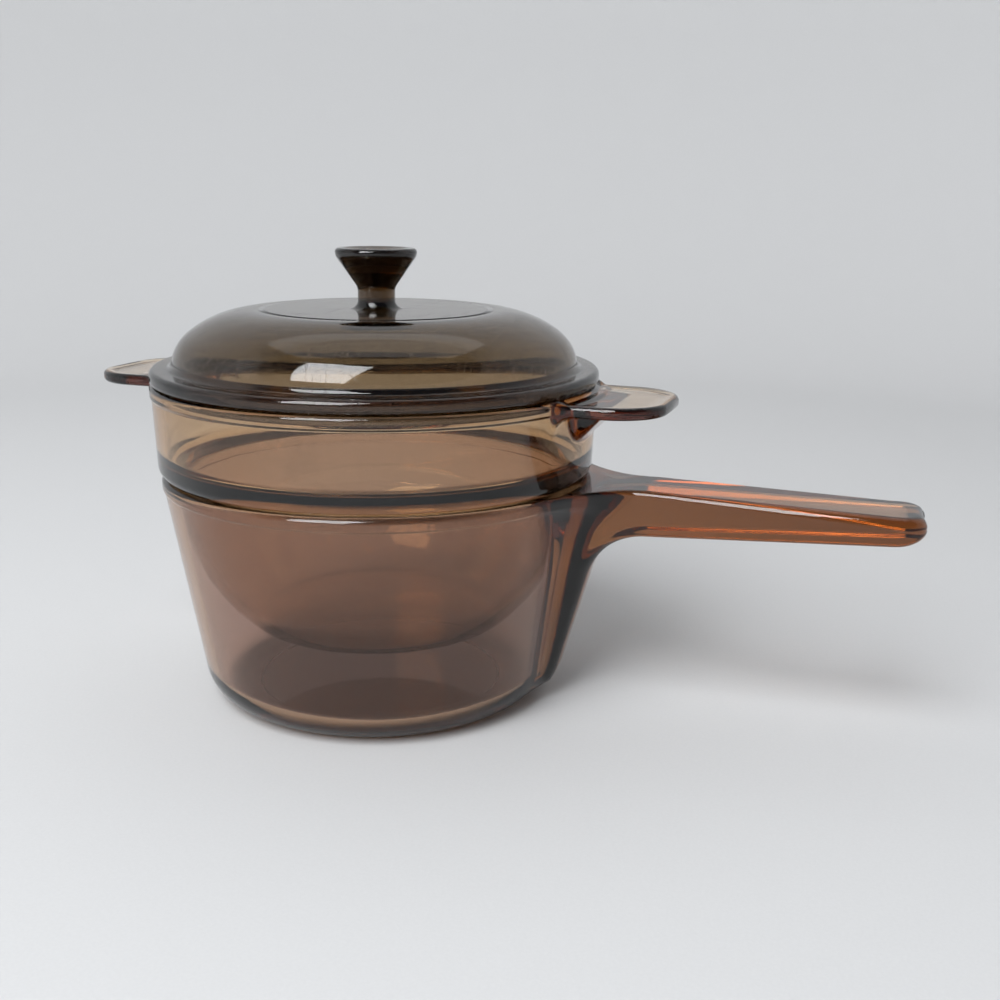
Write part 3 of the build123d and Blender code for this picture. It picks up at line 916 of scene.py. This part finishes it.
def stageMaterial():
    material = bpy.data.materials.new("paleStage")
    material.use_nodes = True
    tree = material.node_tree
    shader = tree.nodes["Principled BSDF"]
    shader.inputs["Roughness"].default_value = stage["roughness"]
    shader.inputs["Specular IOR Level"].default_value = stage["specular"]
    noise = tree.nodes.new("ShaderNodeTexNoise")
    noise.inputs["Scale"].default_value = stage["grainScale"]
    link(tree, tree.nodes.new("ShaderNodeTexCoord").outputs["Object"], noise.inputs["Vector"])
    ramp = tree.nodes.new("ShaderNodeMapRange")
    ramp.inputs["To Min"].default_value = stage["colour"] * (1 - stage["grainDepth"])
    ramp.inputs["To Max"].default_value = stage["colour"] * (1 + stage["grainDepth"])
    link(tree, noise.outputs["Fac"], ramp.inputs["Value"])
    join = tree.nodes.new("ShaderNodeCombineColor")
    for socket in join.inputs[:3]:
        link(tree, ramp.outputs[0], socket)
    link(tree, join.outputs[0], shader.inputs["Base Color"])
    return material


def buildStage():
    s = stage
    spots, faces = [(0, 0, -s["floorDrop"])], []
    for segment in range(s["segments"]):
        angle = math.tau * segment / s["segments"]
        frontShare = float(smoothStep(*s["frontBlend"], -math.sin(angle)))  # 0 at the back, 1 in front
        radius = s["backRadius"] + (s["frontRadius"] - s["backRadius"]) * frontShare
        height = s["backHeight"] + (s["frontHeight"] - s["backHeight"]) * frontShare
        profile = [(r, 0.0) for r in (*s["floorRings"], radius - s["bend"])]
        for swing in np.radians(np.arange(s["bendStep"], 90.1, s["bendStep"])):
            profile.append((radius - s["bend"] * (1 - math.sin(swing)), s["bend"] * (1 - math.cos(swing))))
        profile.append((radius, height))
        direction = angle + math.radians(s["turn"])
        spots += [(r * math.cos(direction), r * math.sin(direction), z - s["floorDrop"]) for r, z in profile]
    rows = len(profile)
    for segment in range(s["segments"]):
        here, there = 1 + segment * rows, 1 + (segment + 1) % s["segments"] * rows
        faces.append((0, here, there))
        faces += [(here + i, here + i + 1, there + i + 1, there + i) for i in range(rows - 1)]
    sheet = bpy.data.meshes.new("backdrop")
    sheet.from_pydata(spots, [], faces)
    for polygon in sheet.polygons:
        polygon.use_smooth = True
    sheet.materials.append(stageMaterial())
    piece = bpy.data.objects.new("backdrop", sheet)
    scene.collection.objects.link(piece)


lamps = {  # places are in metres and turn with the stage, so that the camera stands at -Y
    "window": {"place": (-0.74, -1.14, 1.36), "size": (1.0, 1.5), "power": 46.0, "colour": (0.96, 0.98, 1.0)},
    "top": {"place": (0.0, 0.6, 1.8), "size": (1.7, 1.3), "power": 5.0, "colour": (1.0, 1.0, 1.0)},
    "aim": (0.0, 0.0, 0.08),
    "room": (0.10, 0.105, 0.12),  # the dim room round the stage
}


def buildLamps():
    turn = Matrix.Rotation(math.radians(stage["turn"]), 3, "Z")
    for name in ("window", "top"):
        s = lamps[name]
        data = bpy.data.lights.new(name, "AREA")
        data.shape = "RECTANGLE"
        data.size, data.size_y = s["size"]
        data.energy = s["power"]
        data.color = s["colour"]
        lamp = bpy.data.objects.new(name, data)
        lamp.location = turn @ Vector(s["place"])
        lamp.rotation_euler = (Vector(lamps["aim"]) - lamp.location).to_track_quat("-Z", "Y").to_euler()
        scene.collection.objects.link(lamp)
    scene.world = bpy.data.worlds.new("dimRoom")
    scene.world.use_nodes = True
    scene.world.node_tree.nodes["Background"].inputs["Color"].default_value = (*lamps["room"], 1)


camera = {
    "distance": 0.49725,
    "height": 0.2061,
    "turn": 21.0,
    "yaw": 0.1018,
    "pitch": 0.2506,
    "roll": 0.0125,
    "lens": 43.97,
    "sensor": 36.0,
    "nearest": 0.01,
}


def buildCamera():
    s = camera
    turn = Matrix.Rotation(math.radians(s["turn"]), 3, "Z")
    level = Vector((math.sin(s["yaw"]), math.cos(s["yaw"]), 0))
    forward = level * math.cos(s["pitch"]) - Vector((0, 0, math.sin(s["pitch"])))
    right = Vector((level.y, -level.x, 0))
    up = right.cross(forward)
    tiltedRight = math.cos(s["roll"]) * right + math.sin(s["roll"]) * up
    tiltedUp = math.cos(s["roll"]) * up - math.sin(s["roll"]) * right
    axes = Matrix((turn @ tiltedRight, turn @ tiltedUp, turn @ -forward)).transposed()
    data = bpy.data.cameras.new("camera")
    data.sensor_width = s["sensor"]
    data.lens = s["lens"]
    data.clip_start = s["nearest"]
    piece = bpy.data.objects.new("camera", data)
    piece.matrix_world = Matrix.Translation(turn @ Vector((0, -s["distance"], s["height"]))) @ axes.to_4x4()
    scene.collection.objects.link(piece)
    scene.camera = piece


buildStage()
buildLamps()
buildCamera()
scene.view_settings.view_transform = "Standard"
scene.cycles.max_bounces = 24
scene.cycles.transmission_bounces = 24
print("stage ready")
